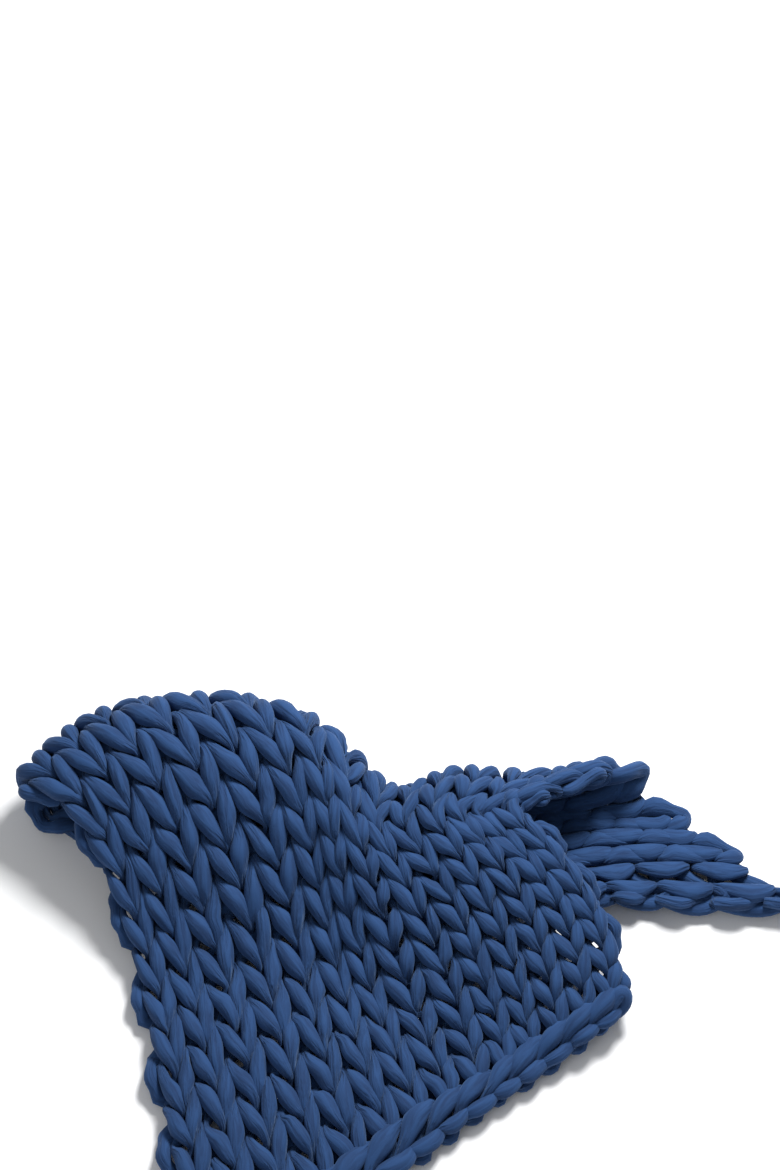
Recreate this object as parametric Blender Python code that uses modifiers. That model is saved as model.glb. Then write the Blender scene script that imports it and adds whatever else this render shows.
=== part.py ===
"""Weighted blanket, knitted by hand in one piece from soft stuffed cotton tube yarn.

The blanket is one panel of stocking stitch. It lies on a flat surface, folded over once with a skewed
fold: the long front flap is on top with its knit side up, the fold rises in a mound at the left and in an
arch at the right, and the back part returns underneath and comes out at the right with its purl side up.
Metres, +Z up, the surface it lies on is Z = 0, the origin is at the centre of the underside.
"""
import math

import bpy
import numpy as np

# Driving dimensions
STITCHES = 14               # knit columns across the width
ROWS = 20                   # knit rows along the length
CLOTH_THICKNESS = 0.046     # the knit, measured through its plump strands
CELLS_PER_STITCH = 2        # mesh cells across one column
CELLS_PER_ROW = 3           # mesh cells along one row

# One row for each section, taken along the knit columns. "across" is its place in the width, from 0 at the
# left edge to 1 at the right edge. The front edge lies on the floor, the flap climbs over the last
# "slope_run" of its length to the crest, the fold turns down over its back to the foot, and the lower
# layer runs along the floor from the foot to the end edge. "pull" and "turn" are the two places that the
# flap's curve leans towards on its way, "flap_rows" are the knit rows before the crest, and "lead" is how
# far before the crest a column already points at the fold's back.
SECTION_FIELDS = (
    "across", "front_x", "front_y", "pull_x", "pull_y", "turn_x", "turn_y", "crest_x", "crest_y", "crest_z",
    "slope_run", "lead", "flap_rows", "back_x", "back_y", "back_z", "foot_x", "foot_y", "end_x", "end_y")
SECTIONS = (
    (0.00, -0.36, -0.50, -0.43, -0.245, -0.44, 0.015, -0.60, 0.31, 0.115,
     0.30, 0.15, 13.4, -0.655, 0.350, 0.072, -0.60, 0.31, -0.40, 0.20),
    (0.20, -0.205, -0.385, -0.255, -0.195, -0.31, 0.055, -0.46, 0.385, 0.165,
     0.38, 0.13, 12.9, -0.520, 0.455, 0.098, -0.47, 0.39, -0.28, 0.22),
    (0.40, -0.045, -0.26, -0.14, -0.065, -0.165, 0.135, -0.26, 0.405, 0.180,
     0.40, 0.13, 12.0, -0.310, 0.475, 0.102, -0.27, 0.40, -0.08, 0.20),
    (0.50, 0.018, -0.21, -0.065, -0.015, -0.11, 0.137, -0.17, 0.370, 0.170,
     0.40, 0.105, 11.3, -0.185, 0.435, 0.100, -0.16, 0.37, 0.02, 0.19),
    (0.60, 0.075, -0.165, 0.045, -0.08, 0.018, 0.158, -0.10, 0.290, 0.130,
     0.38, 0.06, 10.5, -0.085, 0.350, 0.078, -0.05, 0.32, 0.12, 0.19),
    (0.75, 0.16, -0.105, 0.135, -0.02, 0.137, 0.183, 0.00, 0.295, 0.145,
     0.42, 0.055, 9.8, 0.025, 0.360, 0.090, 0.09, 0.31, 0.27, 0.19),
    (0.88, 0.235, -0.05, 0.215, 0.03, 0.236, 0.210, 0.07, 0.285, 0.140,
     0.46, 0.04, 9.2, 0.145, 0.360, 0.088, 0.25, 0.32, 0.41, 0.18),
    (1.00, 0.29, -0.01, 0.288, 0.06, 0.327, 0.162, 0.14, 0.300, 0.150,
     0.44, 0.03, 8.7, 0.320, 0.385, 0.095, 0.44, 0.29, 0.59, 0.175),
)
FOOT_LEAD = 0.08            # how far past the foot a column still points away from the back
PROFILE_STEPS = 60          # points along each stretch of a section before it is spaced into rows
ROW_STEPS = 201             # points at which the row spacing is worked out
PITCH_BLEND = 1.0           # rows over which the spacing changes at the crest

# Finish
YARN_BLUE = (0.028, 0.088, 0.226, 1.0)
YARN_ROUGHNESS = 0.85


def spline_through(stations, values, at):
    """Values of a natural cubic spline through the stations, at the places asked for."""
    count = len(stations)
    gap = np.diff(stations)
    slope = np.diff(values, axis=0) / gap[:, None]
    matrix = np.eye(count)
    right = np.zeros_like(values)
    for i in range(1, count - 1):
        matrix[i, i - 1:i + 2] = (gap[i - 1], 2.0 * (gap[i - 1] + gap[i]), gap[i])
        right[i] = 6.0 * (slope[i] - slope[i - 1])
    bend = np.linalg.solve(matrix, right)
    i = np.clip(np.searchsorted(stations, at) - 1, 0, count - 2)
    ahead, behind, h = at - stations[i], stations[i + 1] - at, gap[i]
    return ((bend[i] * (behind ** 3)[:, None] + bend[i + 1] * (ahead ** 3)[:, None]) / (6.0 * h)[:, None]
            + (values[i] / h[:, None] - bend[i] * h[:, None] / 6.0) * behind[:, None]
            + (values[i + 1] / h[:, None] - bend[i + 1] * h[:, None] / 6.0) * ahead[:, None])


def curve_between(controls, share):
    """Points of the Bezier curve that starts and ends at the outer control points."""
    degree = len(controls) - 1
    return sum(
        math.comb(degree, k) * np.outer(share ** k * (1 - share) ** (degree - k), control)
        for k, control in enumerate(controls))


def row_spacing(crest, end, flap_rows):
    """Rows, and how far along a section each lies: even on the flap and behind it, with a smooth change."""
    rows = np.linspace(0.0, ROWS, ROW_STEPS)
    before, after = crest / flap_rows, (end - crest) / (ROWS - flap_rows)
    pitch = before + (after - before) / (1.0 + np.exp((flap_rows - rows) / PITCH_BLEND))
    reach = np.concatenate(([0.0], np.cumsum((pitch[1:] + pitch[:-1]) / 2)))
    return rows, reach * end / reach[-1]


def section_profile(section):
    """The middle of the cloth along one knit column, from the front edge to the end edge."""
    floor = CLOTH_THICKNESS / 2
    place = {name: value for name, value in zip(SECTION_FIELDS, section)}
    front, pull, turn_in, crest, back, foot, end = (
        np.array((place[spot + "_x"], place[spot + "_y"]))
        for spot in ("front", "pull", "turn", "crest", "back", "foot", "end"))
    share = np.linspace(0.0, 1.0, PROFILE_STEPS)

    towards_back = (back - crest) / np.linalg.norm(back - crest)
    flap = curve_between((front, pull, turn_in, crest - towards_back * place["lead"], crest), share)
    climb = np.clip(1.0 - np.linalg.norm(flap - crest, axis=1) / place["slope_run"], 0.0, 1.0)
    flap_z = floor + (place["crest_z"] - floor) * climb ** 2 * (3.0 - 2.0 * climb)

    turn = np.linspace(0.0, math.pi, 2 * PROFILE_STEPS)[1:]
    upper = turn < math.pi / 2
    swing = np.sin(turn)[:, None]
    fold = np.where(upper[:, None], crest + (back - crest) * swing, foot + (back - foot) * swing)
    fold_reach = np.where(upper, place["crest_z"] - place["back_z"], place["back_z"] - floor)
    fold_z = place["back_z"] + fold_reach * np.cos(turn)

    from_back = (foot - back) / np.linalg.norm(foot - back)
    lower = curve_between((foot, foot + from_back * FOOT_LEAD, end), share)[1:]
    plan = np.vstack((flap, fold, lower))
    height = np.concatenate((flap_z, fold_z, np.full(len(lower), floor)))
    return np.column_stack((plan, height)), place["flap_rows"]


def cloth_middle(across, along):
    """A grid of points in the middle of the cloth, for shares of its width and of its rows."""
    table = np.array(SECTIONS)
    lines = []
    for section in spline_through(table[:, 0], table, across):
        profile, flap_rows = section_profile(section)
        length = np.concatenate(([0.0], np.cumsum(np.linalg.norm(np.diff(profile, axis=0), axis=1))))
        crest = length[PROFILE_STEPS - 1]
        reach = np.interp(along * ROWS, *row_spacing(crest, length[-1], flap_rows))
        lines.append(np.column_stack([np.interp(reach, length, axis) for axis in profile.T]))
    return np.array(lines)


def cotton_yarn():
    material = bpy.data.materials.new("cotton_tube_yarn")
    material.use_nodes = True
    shader = material.node_tree.nodes["Principled BSDF"]
    shader.inputs["Base Color"].default_value = YARN_BLUE
    shader.inputs["Roughness"].default_value = YARN_ROUGHNESS
    shader.inputs["Metallic"].default_value = 0.0
    return material


def knit_blanket(collection):
    """The folded panel: its middle surface thickened to the knit, and pressed flat where it lies."""
    across = np.linspace(0.0, 1.0, STITCHES * CELLS_PER_STITCH + 1)
    along = np.linspace(0.0, 1.0, ROWS * CELLS_PER_ROW + 1)
    grid = cloth_middle(across, along)
    lines, points = grid.shape[:2]
    faces = [(i * points + j, (i + 1) * points + j, (i + 1) * points + j + 1, i * points + j + 1)
             for i in range(lines - 1) for j in range(points - 1)]
    sheet = bpy.data.meshes.new("blanket_middle")
    sheet.from_pydata(grid.reshape(-1, 3).tolist(), [], faces)
    draft = bpy.data.objects.new("blanket_middle", sheet)
    collection.objects.link(draft)
    wall = draft.modifiers.new("knit thickness", "SOLIDIFY")
    wall.thickness = CLOTH_THICKNESS
    wall.offset = 0.0

    bpy.context.view_layer.update()
    mesh = bpy.data.meshes.new_from_object(draft.evaluated_get(bpy.context.evaluated_depsgraph_get()))
    bpy.data.objects.remove(draft)
    corners = np.array([vertex.co[:] for vertex in mesh.vertices])
    centre = (corners.min(axis=0) + corners.max(axis=0)) / 2
    for vertex in mesh.vertices:
        vertex.co = (vertex.co.x - centre[0], vertex.co.y - centre[1], max(vertex.co.z, 0.0))
    mesh.name = "knit_blanket"
    mesh.materials.clear()
    mesh.materials.append(cotton_yarn())
    blanket = bpy.data.objects.new("knit_blanket", mesh)
    collection.objects.link(blanket)
    return blanket


def main():
    for leftover in list(bpy.data.objects):
        bpy.data.objects.remove(leftover)
    collection = bpy.data.collections.new("weighted_blanket")
    bpy.context.scene.collection.children.link(collection)
    knit_blanket(collection)


main()
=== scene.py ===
"""Weighted blanket, knitted by hand in one piece from stuffed cotton tube yarn, folded over once.

The yarn is laid loop by loop in stocking stitch on the folded cloth: legs in front on the knit side, heads
and sinker loops behind on the purl side, with a thick chain along the front edge and along the end edge.
It is made in five tubes that aren't joined: three runs of rows and the two chains.
"""

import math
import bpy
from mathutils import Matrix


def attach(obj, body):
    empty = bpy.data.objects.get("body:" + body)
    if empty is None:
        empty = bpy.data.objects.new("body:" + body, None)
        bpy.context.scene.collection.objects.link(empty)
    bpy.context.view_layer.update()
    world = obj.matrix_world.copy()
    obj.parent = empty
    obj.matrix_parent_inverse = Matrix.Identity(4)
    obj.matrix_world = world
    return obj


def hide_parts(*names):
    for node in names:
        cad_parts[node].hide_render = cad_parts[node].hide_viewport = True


bl_info = {
    "name": "Chunky knit weighted blanket",
    "version": (1, 0, 0),
    "blender": (4, 5, 0),
    "location": "3D View > Sidebar > Blanket",
    "description": "Knits a folded weighted blanket from thick cotton tube yarn",
    "category": "Object",
}

import bpy
import numpy as np
from mathutils import Vector

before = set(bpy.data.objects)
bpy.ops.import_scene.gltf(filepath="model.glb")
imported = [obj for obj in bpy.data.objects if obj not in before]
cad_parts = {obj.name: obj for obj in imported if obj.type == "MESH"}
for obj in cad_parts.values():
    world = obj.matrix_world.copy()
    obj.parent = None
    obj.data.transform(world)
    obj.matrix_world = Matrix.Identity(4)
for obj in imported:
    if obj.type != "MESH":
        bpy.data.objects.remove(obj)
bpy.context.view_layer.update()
NODE = "knit_blanket"

# The fold, one row for each section along the knit columns, as the blanket's solid has it (metres). "across"
# is a section's place in the width, from 0 at the left edge to 1 at the right. The front edge lies on the
# floor, the flap leans towards "pull" and "turn" and climbs over its last "slope_run" to the crest, where it
# has taken "flap_rows" rows and already points at the fold's back over "lead". The fold turns down over its
# back to the foot, and the lower layer runs to the end edge.
SECTION_FIELDS = (
    "across", "front_x", "front_y", "pull_x", "pull_y", "turn_x", "turn_y", "crest_x", "crest_y", "crest_z",
    "slope_run", "lead", "flap_rows", "back_x", "back_y", "back_z", "foot_x", "foot_y", "end_x", "end_y")
SECTIONS = (
    (0.00, -0.36, -0.50, -0.43, -0.245, -0.44, 0.015, -0.60, 0.31, 0.115,
     0.30, 0.15, 13.4, -0.655, 0.350, 0.072, -0.60, 0.31, -0.40, 0.20),
    (0.20, -0.205, -0.385, -0.255, -0.195, -0.31, 0.055, -0.46, 0.385, 0.165,
     0.38, 0.13, 12.9, -0.520, 0.455, 0.098, -0.47, 0.39, -0.28, 0.22),
    (0.40, -0.045, -0.26, -0.14, -0.065, -0.165, 0.135, -0.26, 0.405, 0.180,
     0.40, 0.13, 12.0, -0.310, 0.475, 0.102, -0.27, 0.40, -0.08, 0.20),
    (0.50, 0.018, -0.21, -0.065, -0.015, -0.11, 0.137, -0.17, 0.370, 0.170,
     0.40, 0.105, 11.3, -0.185, 0.435, 0.100, -0.16, 0.37, 0.02, 0.19),
    (0.60, 0.075, -0.165, 0.045, -0.08, 0.018, 0.158, -0.10, 0.290, 0.130,
     0.38, 0.06, 10.5, -0.085, 0.350, 0.078, -0.05, 0.32, 0.12, 0.19),
    (0.75, 0.16, -0.105, 0.135, -0.02, 0.137, 0.183, 0.00, 0.295, 0.145,
     0.42, 0.055, 9.8, 0.025, 0.360, 0.090, 0.09, 0.31, 0.27, 0.19),
    (0.88, 0.235, -0.05, 0.215, 0.03, 0.236, 0.210, 0.07, 0.285, 0.140,
     0.46, 0.04, 9.2, 0.145, 0.360, 0.088, 0.25, 0.32, 0.41, 0.18),
    (1.00, 0.29, -0.01, 0.288, 0.06, 0.327, 0.162, 0.14, 0.300, 0.150,
     0.44, 0.03, 8.7, 0.320, 0.385, 0.095, 0.44, 0.29, 0.59, 0.175),
)
FOOT_LEAD = 0.08            # how far past the foot a column still points away from the back
CLOTH_ROWS = 20             # knit rows along the cloth, its two edge chains included
CLOTH_THICKNESS = 0.046     # the knit, measured through its plump strands
PROFILE_STEPS = 60          # points along each stretch of a section before it is spaced into rows
ROW_STEPS = 201             # points at which the row spacing is worked out
PITCH_BLEND = 1.0           # rows over which the spacing changes at the crest

# One loop of the knit, from one sinker loop to the next. Across is in columns, along in rows, lift in mm in
# front of the cloth's middle, and the last two are the yarn's half width and half depth in mm. The left leg
# is the plumper one and lies over the right leg where they meet.
LOOP = (
    # across  along   lift  half_w half_d
    (0.000, -0.28, -12.0, 16.5, 11.0),    # sinker loop, behind
    (0.330, -0.10, -9.5, 10.0, 9.0),      # base
    (0.505, -0.02, 0.0, 5.5, 7.5),        # tip of the left leg
    (0.440, 0.25, 7.5, 9.8, 11.0),        # foot
    (0.310, 0.62, 9.5, 14.6, 14.0),       # belly
    (0.170, 1.00, 7.5, 12.2, 12.5),       # shoulder
    (0.070, 1.32, -0.5, 6.5, 9.0),        # neck
    (0.140, 1.47, -9.5, 11.0, 9.0),       # crown
    (0.500, 1.70, -12.5, 17.0, 10.5),     # head, behind
    (0.860, 1.47, -9.5, 11.0, 9.0),       # crown
    (0.925, 1.31, -1.5, 6.5, 9.0),        # neck of the right leg
    (0.860, 1.02, 6.5, 11.2, 12.0),       # shoulder
    (0.755, 0.64, 9.0, 13.2, 13.5),       # belly
    (0.650, 0.28, 6.5, 9.4, 11.0),        # foot
    (0.580, 0.02, -1.5, 5.5, 7.5),        # tip
    (0.690, -0.10, -9.5, 10.0, 8.5),      # base
)
TURN = (                                  # the yarn's turn to the next row, outside the last column
    (0.16, 0.05, -5.0, 11.0, 10.5),
    (0.24, 0.33, 0.0, 12.5, 11.0),
    (0.16, 0.58, -5.0, 11.0, 10.5),
)
CHAIN_LINK = (                            # one link of an edge chain: along it, then towards the outside
    # forward outward  lift  half_w half_d
    (-0.28, 0.32, 0.0, 6.5, 8.0),         # tip of the inner leg, under the link before
    (0.06, 0.10, 10.0, 13.5, 12.0),
    (0.48, -0.12, 13.0, 18.0, 15.0),      # belly of the inner leg
    (0.90, -0.28, 9.5, 14.0, 12.5),
    (1.20, -0.32, -1.0, 8.0, 9.0),        # top of the link, turned under the next one
    (1.32, -0.05, -9.0, 9.0, 9.0),
    (1.22, 0.28, -4.0, 9.0, 9.0),
    (0.86, 0.50, 5.0, 13.0, 11.5),
    (0.45, 0.52, 7.0, 14.5, 12.5),        # belly of the outer leg
    (0.08, 0.44, 1.0, 9.0, 9.5),
    (0.02, 0.54, -9.0, 9.0, 9.5),
    (0.35, 0.66, -12.5, 12.5, 10.5),      # bump behind, towards the next link
)
KNOB = (                                  # the chain's last turn, tucked under at the corner
    (-0.40, 0.12, 6.0, 12.5, 12.0),
    (-0.12, -0.12, 10.0, 17.0, 14.5),
    (0.12, 0.02, 8.0, 17.5, 15.0),
    (0.18, 0.34, 1.0, 15.0, 13.0),
    (-0.08, 0.52, -7.0, 11.0, 11.0),
    (-0.45, 0.44, -11.0, 8.0, 9.0),
)
FIRST_ROW = -0.25                         # where the first knit row starts, under the front chain
FRONT_CHAIN = -0.28                       # middle of the front chain, in rows
END_CHAIN = 0.42                          # middle of the end chain past the last row, in rows
LINK_LEAD = 0.2                           # how far before its column a chain link starts, in columns
SIDE_ROOM = 0.25                          # columns that the yarn needs outside the first and last column
CHAIN_ROOM = 1.00                         # rows that an edge chain takes


class YarnSizes(bpy.types.PropertyGroup):
    """Sizes of the knit."""
    columns: bpy.props.IntProperty(
        name="Columns", description="Knit columns across the blanket", default=14, min=4, max=40)
    rows: bpy.props.IntProperty(
        name="Rows", description="Knit rows between the two edge chains", default=18, min=4, max=60)
    column_pitch: bpy.props.FloatProperty(
        name="Column pitch", description="Width of one knit column laid flat",
        default=0.060, min=0.02, max=0.12, subtype="DISTANCE", unit="LENGTH")
    row_pitch: bpy.props.FloatProperty(
        name="Row pitch", description="Height of one knit row laid flat",
        default=0.063, min=0.02, max=0.12, subtype="DISTANCE", unit="LENGTH")
    fullness: bpy.props.FloatProperty(
        name="Fullness", description="How plump the stuffed tube is, 1 as bought",
        default=1.0, min=0.5, max=1.2, subtype="FACTOR")
    unevenness: bpy.props.FloatProperty(
        name="Unevenness", description="How unlike the hand-made loops are",
        default=1.0, min=0.0, max=3.0, subtype="FACTOR")
    seed: bpy.props.IntProperty(name="Seed", description="Seed of the unevenness", default=7, min=0)


class YarnColours(bpy.types.PropertyGroup):
    """Colours of the dyed cotton, with the painted shade in its creases."""
    body: bpy.props.StringProperty(
        name="Yarn", description="Colour of the dyed jersey, sRGB hex", default="23416C")
    # The crease colour is painted shade, mixed into the yarn's colour in the crease valleys.
    crease_shade: bpy.props.StringProperty(
        name="Creases", description="Colour in the creases of the jersey, sRGB hex", default="122444")
    sheen: bpy.props.StringProperty(
        name="Sheen", description="Colour of the cotton's soft bloom, sRGB hex", default="8FB0E0")
    floor: bpy.props.StringProperty(
        name="Floor", description="Colour of the plain floor, sRGB hex", default="F4F4F4")


def linear_colour(hex_value):
    """An sRGB hex value as linear red, green, blue and alpha."""
    parts = [int(hex_value[i:i + 2], 16) / 255.0 for i in (0, 2, 4)]
    return (*[c / 12.92 if c <= 0.04045 else ((c + 0.055) / 1.055) ** 2.4 for c in parts], 1.0)


# The folded cloth

def spline_through(stations, values, at):
    """Values of a natural cubic spline through the stations, at the places asked for."""
    count = len(stations)
    gap = np.diff(stations)
    slope = np.diff(values, axis=0) / gap[:, None]
    matrix = np.eye(count)
    right = np.zeros_like(values)
    for i in range(1, count - 1):
        matrix[i, i - 1:i + 2] = (gap[i - 1], 2.0 * (gap[i - 1] + gap[i]), gap[i])
        right[i] = 6.0 * (slope[i] - slope[i - 1])
    bend = np.linalg.solve(matrix, right)
    i = np.clip(np.searchsorted(stations, at) - 1, 0, count - 2)
    ahead, behind, h = at - stations[i], stations[i + 1] - at, gap[i]
    return ((bend[i] * (behind ** 3)[:, None] + bend[i + 1] * (ahead ** 3)[:, None]) / (6.0 * h)[:, None]
            + (values[i] / h[:, None] - bend[i] * h[:, None] / 6.0) * behind[:, None]
            + (values[i + 1] / h[:, None] - bend[i + 1] * h[:, None] / 6.0) * ahead[:, None])


def curve_between(controls, share):
    """Points of the Bezier curve that starts and ends at the outer control points."""
    degree = len(controls) - 1
    return sum(
        math.comb(degree, k) * np.outer(share ** k * (1 - share) ** (degree - k), control)
        for k, control in enumerate(controls))


def row_spacing(crest, end, flap_rows):
    """Rows, and how far along a section each lies: even on the flap and behind it, with a smooth change."""
    rows = np.linspace(0.0, CLOTH_ROWS, ROW_STEPS)
    before, after = crest / flap_rows, (end - crest) / (CLOTH_ROWS - flap_rows)
    pitch = before + (after - before) / (1.0 + np.exp((flap_rows - rows) / PITCH_BLEND))
    reach = np.concatenate(([0.0], np.cumsum((pitch[1:] + pitch[:-1]) / 2)))
    return rows, reach * end / reach[-1]


def section_profile(section):
    """The middle of the cloth along one knit column, from the front edge to the end edge."""
    floor = CLOTH_THICKNESS / 2
    place = {name: value for name, value in zip(SECTION_FIELDS, section)}
    front, pull, turn_in, crest, back, foot, end = (
        np.array((place[spot + "_x"], place[spot + "_y"]))
        for spot in ("front", "pull", "turn", "crest", "back", "foot", "end"))
    share = np.linspace(0.0, 1.0, PROFILE_STEPS)

    towards_back = (back - crest) / np.linalg.norm(back - crest)
    flap = curve_between((front, pull, turn_in, crest - towards_back * place["lead"], crest), share)
    climb = np.clip(1.0 - np.linalg.norm(flap - crest, axis=1) / place["slope_run"], 0.0, 1.0)
    flap_z = floor + (place["crest_z"] - floor) * climb ** 2 * (3.0 - 2.0 * climb)

    turn = np.linspace(0.0, math.pi, 2 * PROFILE_STEPS)[1:]
    upper = turn < math.pi / 2
    swing = np.sin(turn)[:, None]
    fold = np.where(upper[:, None], crest + (back - crest) * swing, foot + (back - foot) * swing)
    fold_reach = np.where(upper, place["crest_z"] - place["back_z"], place["back_z"] - floor)
    fold_z = place["back_z"] + fold_reach * np.cos(turn)

    from_back = (foot - back) / np.linalg.norm(foot - back)
    lower = curve_between((foot, foot + from_back * FOOT_LEAD, end), share)[1:]
    plan = np.vstack((flap, fold, lower))
    height = np.concatenate((flap_z, fold_z, np.full(len(lower), floor)))
    return np.column_stack((plan, height)), place["flap_rows"]


class FoldedCloth:
    """The cloth's middle surface and its knit-side normal, read between the points of a fine grid."""
    LINES = 225             # grid lines across the width
    POINTS = 481            # grid points along each line

    def __init__(self):
        table = np.array(SECTIONS)
        along = np.linspace(0.0, CLOTH_ROWS, self.POINTS)
        lines = []
        for section in spline_through(table[:, 0], table, np.linspace(0.0, 1.0, self.LINES)):
            profile, flap_rows = section_profile(section)
            length = np.concatenate(([0.0], np.cumsum(np.linalg.norm(np.diff(profile, axis=0), axis=1))))
            reach = np.interp(along, *row_spacing(length[PROFILE_STEPS - 1], length[-1], flap_rows))
            lines.append(np.column_stack([np.interp(reach, length, axis) for axis in profile.T]))
        self.middle = np.array(lines)
        normal = np.cross(np.gradient(self.middle, axis=0), np.gradient(self.middle, axis=1))
        cell = np.linalg.norm(normal, axis=2, keepdims=True)
        self.normal = normal / cell
        self.room = np.sqrt(cell * (self.LINES - 1) * (self.POINTS - 1))
        outer = np.concatenate([self.middle + side * self.normal * CLOTH_THICKNESS / 2 for side in (-1, 1)])
        centre = (outer.min(axis=(0, 1)) + outer.max(axis=(0, 1))) / 2
        self.middle[..., :2] -= centre[:2]

    def place(self, across, along):
        """The middle, the knit-side normal and the room for a stitch at shares of the width and the rows.

        The room is the side of the square that the whole cloth would be if it were all stretched as it is
        there. Past the cloth's edges everything runs straight on.
        """
        i, j = across * (self.LINES - 1), along * (self.POINTS - 1)
        i0 = np.clip(i.astype(int), 0, self.LINES - 2)
        j0 = np.clip(j.astype(int), 0, self.POINTS - 2)
        a, b = (i - i0)[:, None], (j - j0)[:, None]

        def between(grid):
            return ((1 - a) * ((1 - b) * grid[i0, j0] + b * grid[i0, j0 + 1])
                    + a * ((1 - b) * grid[i0 + 1, j0] + b * grid[i0 + 1, j0 + 1]))
        return between(self.middle), between(self.normal), between(self.room)[:, 0]


# The yarn

STEPS = 3                   # path points between two control points of a loop
SIDES = 22                  # sides of the tube
LEAST_PLUMP, MOST_PLUMP = 0.82, 1.30    # how far the stuffed tube gives way to its room in the cloth
PLUMP_WIDTH = 14.0          # half width in mm under which the jersey starts to crease
PINCH_RANGE = 5.5           # how many mm narrower it is creased all it can be
CREASE_TWIST = 14.0         # turn of the creases along the yarn, in radians a metre
TUBE_GIRTH = 0.09           # metres around the tube where it is plump, which is one unit of its UV map
MM = 0.001
HAND_SPREAD = (0.022, 0.032, 1.0, 1.1, 0.6)    # how far hand work strays, for each column of a loop's table
CREASES = (                 # ripples of the tube: share of its half width, count around, share of the twist
    # depth around twist
    (0.050, 5, 0.6),
    (0.035, 8, -1.0),
)


def smooth_path(points):
    """The control points joined by Catmull-Rom curves, each column smoothed alike."""
    ends = np.vstack((2 * points[0] - points[1], points, 2 * points[-1] - points[-2]))
    t = (np.arange(STEPS) / STEPS)[None, :, None]
    p0, p1, p2, p3 = (ends[k:len(ends) - 3 + k, None, :] for k in range(4))
    path = 0.5 * (2 * p1 + (p2 - p0) * t + (2 * p0 - 5 * p1 + 4 * p2 - p3) * t ** 2
                  + (3 * p1 - p0 - 3 * p2 + p3) * t ** 3)
    return np.vstack((path.reshape(-1, points.shape[1]), points[-1:]))


def uneven(points, random, amount):
    """The same control points with the small differences of hand work."""
    return points + random.normal(0.0, 1.0, points.shape) * np.array(HAND_SPREAD) * amount


def knit_rows(sizes, random):
    """Control points of the yarn, one list a row and one a turn, which run to the right and back again."""
    loop, turn = np.array(LOOP), np.array(TURN)
    parts = []
    for row in range(sizes.rows):
        along = FIRST_ROW + row
        line = [uneven(loop, random, sizes.unevenness) + (column, along, 0, 0, 0)
                for column in range(sizes.columns)]
        line = np.vstack(line + [loop[:1] + (sizes.columns, along, 0, 0, 0)])
        bend = turn + (0, along, 0, 0, 0)
        if row % 2:
            line = line[::-1]
            bend[:, 0] *= -1
        else:
            bend[:, 0] += sizes.columns
        parts.append(line)
        if row < sizes.rows - 1:
            parts.append(bend)
    return parts


def chain_links(sizes, random, edge_along, outwards):
    """Control points of an edge chain, whose links run from the left edge to the right edge."""
    link = np.array(CHAIN_LINK)
    links = []
    for column in range(sizes.columns):
        part = uneven(link, random, sizes.unevenness)
        part[:, 0] += column - LINK_LEAD
        part[:, 1] = edge_along + outwards * part[:, 1]
        links.append(part)
    knob = np.array(KNOB) + (sizes.columns, 0, 0, 0, 0)
    knob[:, 1] = edge_along + outwards * knob[:, 1]
    return np.vstack(links + [knob])


def yarn_tube(points, cloth, sizes):
    """A tube along the control points, laid on the cloth: its rings, its length so far, and its pinch."""
    path = smooth_path(points)
    columns, rows = sizes.columns + 2 * SIDE_ROOM, sizes.rows + 2 * CHAIN_ROOM
    middle, normal, room = cloth.place((path[:, 0] + SIDE_ROOM) / columns, (path[:, 1] + CHAIN_ROOM) / rows)
    normal /= np.linalg.norm(normal, axis=1, keepdims=True)
    line = middle + normal * path[:, 2:3] * MM
    length = np.concatenate(([0.0], np.cumsum(np.linalg.norm(np.diff(line, axis=0), axis=1))))
    forward = np.gradient(line, axis=0)
    forward /= np.linalg.norm(forward, axis=1, keepdims=True)
    side = np.cross(normal, forward)
    side /= np.linalg.norm(side, axis=1, keepdims=True)
    proud = np.cross(forward, side)

    flat_room = math.sqrt(columns * sizes.column_pitch * rows * sizes.row_pitch)
    plump = sizes.fullness * MM * np.clip(room / flat_room, LEAST_PLUMP, MOST_PLUMP)[:, None]
    pinch = np.clip((PLUMP_WIDTH - path[:, 3]) / PINCH_RANGE, 0.0, 1.0)
    around = np.linspace(0.0, 2 * math.pi, SIDES, endpoint=False)
    wander = length[:, None] * CREASE_TWIST
    crease = 1.0 + pinch[:, None] * sum(
        depth * np.cos(count * around + twist * wander) for depth, count, twist in CREASES)
    rings = (line[:, None, :]
             + side[:, None, :] * (path[:, 3:4] * plump * crease * np.cos(around))[..., None]
             + proud[:, None, :] * (path[:, 4:5] * plump * crease * np.sin(around))[..., None])
    rings[..., 2] = np.maximum(rings[..., 2], 0.0)      # nothing sinks into the floor
    return rings, length, pinch


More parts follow.
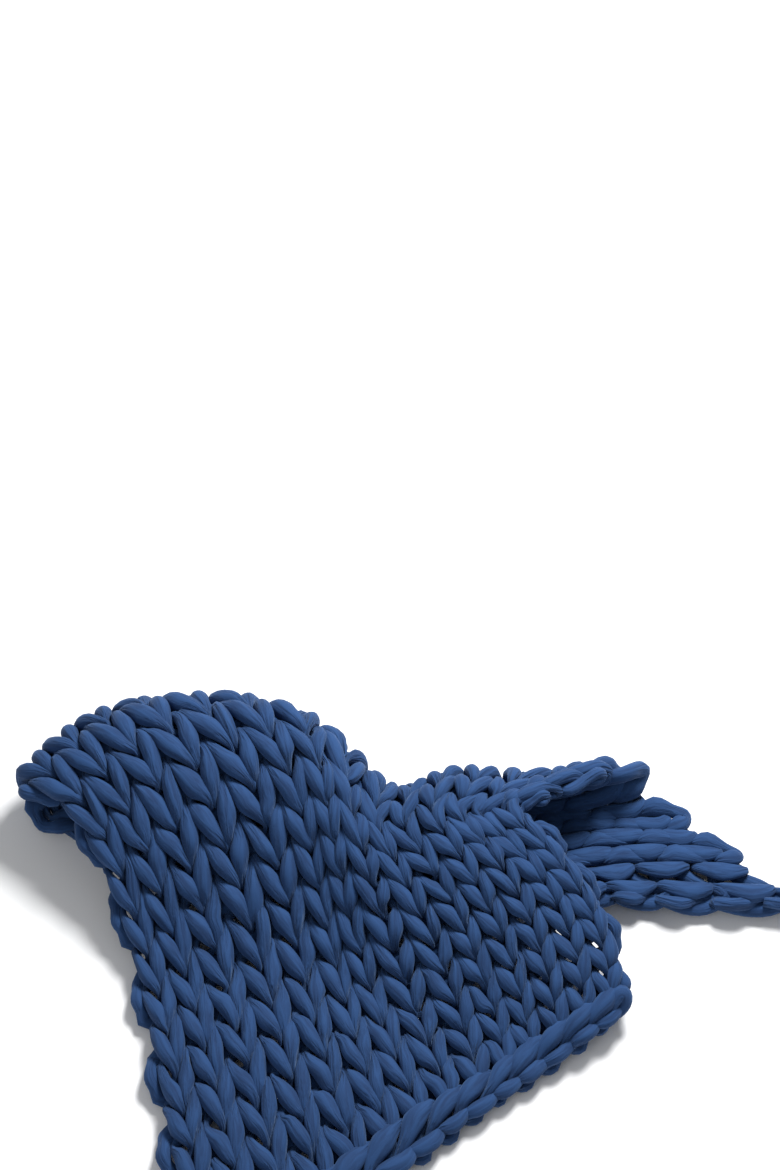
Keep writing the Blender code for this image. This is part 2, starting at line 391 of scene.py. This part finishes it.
def tube_mesh(name, rings, length, pinch):
    """A mesh of one closed tube, with the yarn's own UV map (around, along) and its pinch."""
    count = len(rings)
    index = np.arange(count * SIDES).reshape(count, SIDES)
    beside = np.roll(index, -1, axis=1)
    quads = np.stack((index[:-1], beside[:-1], beside[1:], index[1:]), axis=-1).reshape(-1, 4)
    caps = [index[0][::-1].tolist(), index[-1].tolist()]
    mesh = bpy.data.meshes.new(name)
    mesh.from_pydata(rings.reshape(-1, 3).tolist(), [], quads.tolist() + caps)

    turn = np.arange(SIDES + 1) / SIDES
    run = length / TUBE_GIRTH
    shape = (count - 1, SIDES)
    quad_corners = (
        (turn[:-1], run[:-1]), (turn[1:], run[:-1]), (turn[1:], run[1:]), (turn[:-1], run[1:]))
    corners = np.stack([
        np.stack((np.broadcast_to(u[None, :], shape), np.broadcast_to(v[:, None], shape)), axis=-1)
        for u, v in quad_corners], axis=2).reshape(-1, 2)
    uv = mesh.uv_layers.new(name="yarn")
    ends = np.zeros((len(mesh.loops) - len(corners), 2))
    uv.data.foreach_set("uv", np.vstack((corners, ends)).ravel().astype(np.float32))
    layer = mesh.attributes.new("pinch", "FLOAT", "POINT")
    layer.data.foreach_set("value", np.repeat(pinch, SIDES).astype(np.float32))
    mesh.shade_smooth()
    piece = bpy.data.objects.new(name, mesh)
    bpy.context.scene.collection.objects.link(piece)
    return piece


def finish_piece(piece, material):
    """The piece gets its jersey and rides with the blanket."""
    piece.data.materials.append(material)
    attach(piece, "root")


# Finishes

JERSEY = (
    ("Roughness", 0.88),
    ("Specular IOR Level", 0.25),
    ("Sheen Weight", 0.22),
    ("Sheen Roughness", 0.45),
)
CREASE_DEPTH, WALE_DEPTH = 0.0035, 0.0008
WALE_STRENGTH = 0.35
MIX_A, MIX_B, MIX_RESULT = 6, 7, 2          # the colour sockets of a Mix node, which share their names
CREASES_AROUND, CREASES_ALONG = 9.0, 1.6    # for one girth: 10 mm apart around the tube, 56 mm long
WALES_AROUND, WALES_ALONG = 46.0, 5.0       # for one girth: 2 mm apart around the tube, broken every 18 mm


def add_node(tree, kind, settings=(), inputs=(), links=()):
    """Adds a node, sets its settings and input values, and links (input, from node, from output)."""
    node = tree.nodes.new(kind)
    for name, value in settings:
        setattr(node, name, value)
    for name, value in inputs:
        node.inputs[name].default_value = value
    for name, source, output in links:
        tree.links.new(source.outputs[output], node.inputs[name])
    return node


def cotton_jersey_tube(colours):
    """Cotton single jersey sewn into a tube and stuffed: matt, soft, creased where it is pinched."""
    material = bpy.data.materials.get("cotton_jersey_tube")
    if material:
        return material
    material = bpy.data.materials.new("cotton_jersey_tube")
    material.use_nodes = True
    tree = material.node_tree
    shader = tree.nodes["Principled BSDF"]
    for socket, value in JERSEY:
        shader.inputs[socket].default_value = value
    shader.inputs["Sheen Tint"].default_value = linear_colour(colours.sheen)
    uv = add_node(tree, "ShaderNodeUVMap", [("uv_map", "yarn")])
    pinch = add_node(tree, "ShaderNodeAttribute", [("attribute_name", "pinch")])
    # Creases run along the tube, deepest where the yarn is pinched.
    along = add_node(tree, "ShaderNodeMapping", [],
                     [("Scale", (CREASES_AROUND, CREASES_ALONG, 1.0))], [("Vector", uv, "UV")])
    crease = add_node(tree, "ShaderNodeTexNoise", [("noise_dimensions", "2D")],
                      [("Scale", 1.0), ("Detail", 3.0), ("Roughness", 0.55), ("Distortion", 0.3)],
                      [("Vector", along, "Vector")])
    ridge = add_node(tree, "ShaderNodeMapRange", [],
                     [("From Min", 0.30), ("From Max", 0.62)], [("Value", crease, "Fac")])
    # Wales of the jersey, which are about 1 mm apart, drawn twice as coarse so that they show.
    fine = add_node(tree, "ShaderNodeMapping", [],
                    [("Scale", (WALES_AROUND, WALES_ALONG, 1.0))], [("Vector", uv, "UV")])
    wales = add_node(tree, "ShaderNodeTexNoise", [("noise_dimensions", "2D")],
                     [("Scale", 1.0), ("Detail", 2.0)], [("Vector", fine, "Vector")])
    depth = add_node(tree, "ShaderNodeMath", [("operation", "MULTIPLY_ADD")],
                     [(1, 0.75), (2, 0.25)], [(0, pinch, "Fac")])
    folds = add_node(tree, "ShaderNodeBump", [], [("Distance", CREASE_DEPTH)],
                     [("Height", ridge, "Result"), ("Strength", depth, "Value")])
    jersey = add_node(tree, "ShaderNodeBump", [], [("Strength", WALE_STRENGTH), ("Distance", WALE_DEPTH)],
                      [("Height", wales, "Fac"), ("Normal", folds, "Normal")])
    # Painted shade: the yarn's colour is mixed towards the crease colour in the crease valleys.
    crease_shade_mix = add_node(tree, "ShaderNodeMath", [("operation", "MULTIPLY_ADD")],
                    [(1, 0.55), (2, 0.45)], [(0, ridge, "Result")])
    colour = add_node(tree, "ShaderNodeMix", [("data_type", "RGBA")], [], [("Factor", crease_shade_mix, "Value")])
    colour.inputs[MIX_A].default_value = linear_colour(colours.crease_shade)
    colour.inputs[MIX_B].default_value = linear_colour(colours.body)
    tree.links.new(colour.outputs[MIX_RESULT], shader.inputs["Base Color"])
    tree.links.new(jersey.outputs["Normal"], shader.inputs["Normal"])
    return material


def plain_floor(colours):
    """Matt white studio board: even and pale, with no pattern of its own."""
    material = bpy.data.materials.new("matt_studio_board")
    material.use_nodes = True
    shader = material.node_tree.nodes["Principled BSDF"]
    shader.inputs["Base Color"].default_value = linear_colour(colours.floor)
    shader.inputs["Roughness"].default_value = 0.9
    return material


# Operators

KNIT_PIECES = (             # the knit rows in three pieces, each from its share of the rows on
    ("flap_knit", 0.0),
    ("crest_knit", 1 / 3),
    ("lower_layer_knit", 2 / 3),
)


class BLANKET_OT_knit(bpy.types.Operator):
    """Knit the rows of the blanket on its folded shape"""
    bl_idname = "blanket.knit"
    bl_label = "Knit the rows"

    def execute(self, context):
        sizes = context.scene.yarn_sizes
        cloth = FoldedCloth()
        parts = knit_rows(sizes, np.random.default_rng(sizes.seed))
        material = cotton_jersey_tube(context.scene.yarn_colours)
        starts = [round(share * sizes.rows) for _, share in KNIT_PIECES] + [sizes.rows]
        for (name, _), first, last in zip(KNIT_PIECES, starts, starts[1:]):
            points = np.vstack(parts[2 * first:2 * last])
            if last < sizes.rows:
                points = np.vstack((points, parts[2 * last][:1]))
            piece = tube_mesh(name, *yarn_tube(points, cloth, sizes))
            finish_piece(piece, material)
        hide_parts(NODE)
        return {"FINISHED"}


class BLANKET_OT_edge_chains(bpy.types.Operator):
    """Work the thick chains along the front edge and the end edge"""
    bl_idname = "blanket.edge_chains"
    bl_label = "Work the edge chains"

    def execute(self, context):
        sizes = context.scene.yarn_sizes
        cloth = FoldedCloth()
        random = np.random.default_rng(sizes.seed + 1)
        material = cotton_jersey_tube(context.scene.yarn_colours)
        edges = (("front_edge_chain", FRONT_CHAIN, -1), ("end_edge_chain", sizes.rows + END_CHAIN, 1))
        for name, along, outwards in edges:
            points = chain_links(sizes, random, along, outwards)
            piece = tube_mesh(name, *yarn_tube(points, cloth, sizes))
            finish_piece(piece, material)
        return {"FINISHED"}


LIGHTS = (
    # name, place, size in metres, power in watts
    ("key_light", (0.7, 1.6, 2.2), 0.8, 122.0),
    ("fill_light", (-1.8, -1.6, 1.9), 1.6, 14.0),
)
STUDIO_AIR = (0.95, 0.97, 1.0, 1.0)     # the soft light from all sides
STUDIO_AIR_STRENGTH = 0.34
FLOOR_SIDE = 40.0
FLOOR_DROP = 0.0005         # how far the floor lies under the yarn
PICTURE_HEIGHT = 1.872      # height of the view at the blanket, in metres
CAMERA_AIM = (-0.029, 0.754, 0.0)
CAMERA_ELEVATION = 62.0     # degrees above the floor
LENS = 180.0                # mm
SENSOR = 36.0               # mm
FARTHEST_SEEN = 60.0


class BLANKET_OT_stage(bpy.types.Operator):
    """Set the plain floor, the soft lights and the camera"""
    bl_idname = "blanket.stage"
    bl_label = "Set the stage"

    def execute(self, context):
        bpy.ops.object.select_all(action="DESELECT")
        bpy.ops.mesh.primitive_plane_add(size=FLOOR_SIDE, location=(0.0, 0.0, -FLOOR_DROP))
        floor = context.object
        floor.name = "studio_floor"
        floor.data.transform(floor.matrix_world)
        floor.matrix_world.identity()
        floor.data.materials.append(plain_floor(context.scene.yarn_colours))

        world = context.scene.world or bpy.data.worlds.new("soft studio")
        context.scene.world = world
        world.use_nodes = True
        nodes = world.node_tree.nodes
        background = nodes.get("Background") or nodes.new("ShaderNodeBackground")
        background.inputs["Color"].default_value = STUDIO_AIR
        background.inputs["Strength"].default_value = STUDIO_AIR_STRENGTH

        for name, place, size, power in LIGHTS:
            bpy.ops.object.light_add(type="AREA", location=place)
            light = context.object
            light.name = name
            light.data.size = size
            light.data.energy = power
            light.rotation_euler = (-Vector(place)).to_track_quat("-Z", "Y").to_euler()

        distance = PICTURE_HEIGHT * LENS / SENSOR
        rise = math.radians(CAMERA_ELEVATION)
        place = Vector(CAMERA_AIM) + Vector((0.0, -math.cos(rise), math.sin(rise))) * distance
        bpy.ops.object.camera_add(location=place, rotation=(math.pi / 2 - rise, 0.0, 0.0))
        camera = context.object
        camera.name = "studio_camera"
        camera.data.lens = LENS
        camera.data.sensor_width = SENSOR
        camera.data.clip_end = FARTHEST_SEEN
        context.scene.camera = camera
        context.scene.view_settings.view_transform = "Standard"
        return {"FINISHED"}


class BLANKET_PT_panel(bpy.types.Panel):
    """Sizes, colours and steps of the blanket"""
    bl_label = "Blanket"
    bl_idname = "BLANKET_PT_panel"
    bl_space_type = "VIEW_3D"
    bl_region_type = "UI"
    bl_category = "Blanket"

    def draw(self, context):
        column = self.layout.column()
        for name in ("columns", "rows", "column_pitch", "row_pitch", "fullness", "unevenness", "seed"):
            column.prop(context.scene.yarn_sizes, name)
        for name in ("body", "crease_shade", "sheen", "floor"):
            column.prop(context.scene.yarn_colours, name)
        for operator in (BLANKET_OT_knit, BLANKET_OT_edge_chains, BLANKET_OT_stage):
            column.operator(operator.bl_idname)


CLASSES = (
    YarnSizes, YarnColours, BLANKET_OT_knit, BLANKET_OT_edge_chains, BLANKET_OT_stage, BLANKET_PT_panel)


def register():
    for each in CLASSES:
        bpy.utils.register_class(each)
    bpy.types.Scene.yarn_sizes = bpy.props.PointerProperty(type=YarnSizes)
    bpy.types.Scene.yarn_colours = bpy.props.PointerProperty(type=YarnColours)


def unregister():
    del bpy.types.Scene.yarn_colours
    del bpy.types.Scene.yarn_sizes
    for each in reversed(CLASSES):
        bpy.utils.unregister_class(each)


def main():
    register()
    bpy.ops.blanket.knit()
    bpy.ops.blanket.edge_chains()
    bpy.ops.blanket.stage()


if __name__ == "__main__":
    main()
